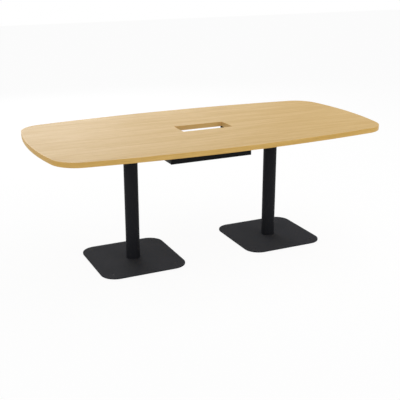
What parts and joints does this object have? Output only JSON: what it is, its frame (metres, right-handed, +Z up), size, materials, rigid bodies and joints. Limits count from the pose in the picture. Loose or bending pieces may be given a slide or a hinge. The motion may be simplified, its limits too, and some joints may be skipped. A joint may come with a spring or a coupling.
{
  "type": "meeting table",
  "caption": "Barrel-shaped wood meeting table on two round columns with square base plates, with a cable cut-out and a tray below it.",
  "frame": {"origin": "on the floor, under the middle of the top", "axes": "+X along the table, +Z up, -Y towards the long side that faces the camera"},
  "size_m": [2.018, 1, 0.74],
  "materials": {
    "oak_laminate": "matt laminate with a fine straight grain along the table",
    "oak_edge_band": "matt edge band, more golden than the face",
    "oak_cutout_lining": "matt edge band",
    "backing_laminate": "matt backing laminate",
    "chipboard": "raw pressed chipboard",
    "black_base_steel": "fine-textured black powder coat",
    "black_column_steel": "fine-textured black powder coat",
    "black_tray_steel": "fine-textured black powder coat",
    "plain_steel": "bare turned steel",
    "zinc_steel": "zinc-plated steel",
    "black_screw_steel": "black-oxide steel",
    "black_nylon": "moulded nylon"
  },
  "bodies": {
    "table": {"core_board": "chipboard", "top_laminate": "oak_laminate", "under_laminate": "backing_laminate", "outer_edge_band": "oak_edge_band", "cutout_edge_band": "oak_cutout_lining", "tray_pan": "black_tray_steel", "left_base_plate": "black_base_steel", "left_column_tube": "black_column_steel", "left_mounting_plate": "black_column_steel", "left_tray_hanger": "black_tray_steel", "left_foot_disc": "plain_steel", "left_head_disc": "plain_steel", "left_base_screws": "zinc_steel", "left_head_screws": "zinc_steel", "left_top_bolts": "zinc_steel", "left_threaded_inserts": "zinc_steel", "left_tray_nuts": "zinc_steel", "left_tray_bolts": "black_screw_steel", "left_hanger_screws": "black_screw_steel", "right_base_plate": "black_base_steel", "right_column_tube": "black_column_steel", "right_mounting_plate": "black_column_steel", "right_tray_hanger": "black_tray_steel", "right_foot_disc": "plain_steel", "right_head_disc": "plain_steel", "right_base_screws": "zinc_steel", "right_head_screws": "zinc_steel", "right_top_bolts": "zinc_steel", "right_threaded_inserts": "zinc_steel", "right_tray_nuts": "zinc_steel", "right_tray_bolts": "black_screw_steel", "right_hanger_screws": "black_screw_steel"},
    "left_glide_1": {"left_glide_1_plug": "black_screw_steel", "left_glide_1_pad": "black_nylon"},
    "left_glide_2": {"left_glide_2_plug": "black_screw_steel", "left_glide_2_pad": "black_nylon"},
    "left_glide_3": {"left_glide_3_plug": "black_screw_steel", "left_glide_3_pad": "black_nylon"},
    "left_glide_4": {"left_glide_4_plug": "black_screw_steel", "left_glide_4_pad": "black_nylon"},
    "right_glide_1": {"right_glide_1_plug": "black_screw_steel", "right_glide_1_pad": "black_nylon"},
    "right_glide_2": {"right_glide_2_plug": "black_screw_steel", "right_glide_2_pad": "black_nylon"},
    "right_glide_3": {"right_glide_3_plug": "black_screw_steel", "right_glide_3_pad": "black_nylon"},
    "right_glide_4": {"right_glide_4_plug": "black_screw_steel", "right_glide_4_pad": "black_nylon"}
  },
  "joints": [
    {"name": "left_glide_1_travel", "type": "slide", "parent": "table", "child": "left_glide_1", "axis": [0, 0, -1], "range_m": [0, 0.004]},
    {"name": "left_glide_2_travel", "type": "slide", "parent": "table", "child": "left_glide_2", "axis": [0, 0, -1], "range_m": [0, 0.004]},
    {"name": "left_glide_3_travel", "type": "slide", "parent": "table", "child": "left_glide_3", "axis": [0, 0, -1], "range_m": [0, 0.004]},
    {"name": "left_glide_4_travel", "type": "slide", "parent": "table", "child": "left_glide_4", "axis": [0, 0, -1], "range_m": [0, 0.004]},
    {"name": "right_glide_1_travel", "type": "slide", "parent": "table", "child": "right_glide_1", "axis": [0, 0, -1], "range_m": [0, 0.004]},
    {"name": "right_glide_2_travel", "type": "slide", "parent": "table", "child": "right_glide_2", "axis": [0, 0, -1], "range_m": [0, 0.004]},
    {"name": "right_glide_3_travel", "type": "slide", "parent": "table", "child": "right_glide_3", "axis": [0, 0, -1], "range_m": [0, 0.004]},
    {"name": "right_glide_4_travel", "type": "slide", "parent": "table", "child": "right_glide_4", "axis": [0, 0, -1], "range_m": [0, 0.004]}
  ]
}
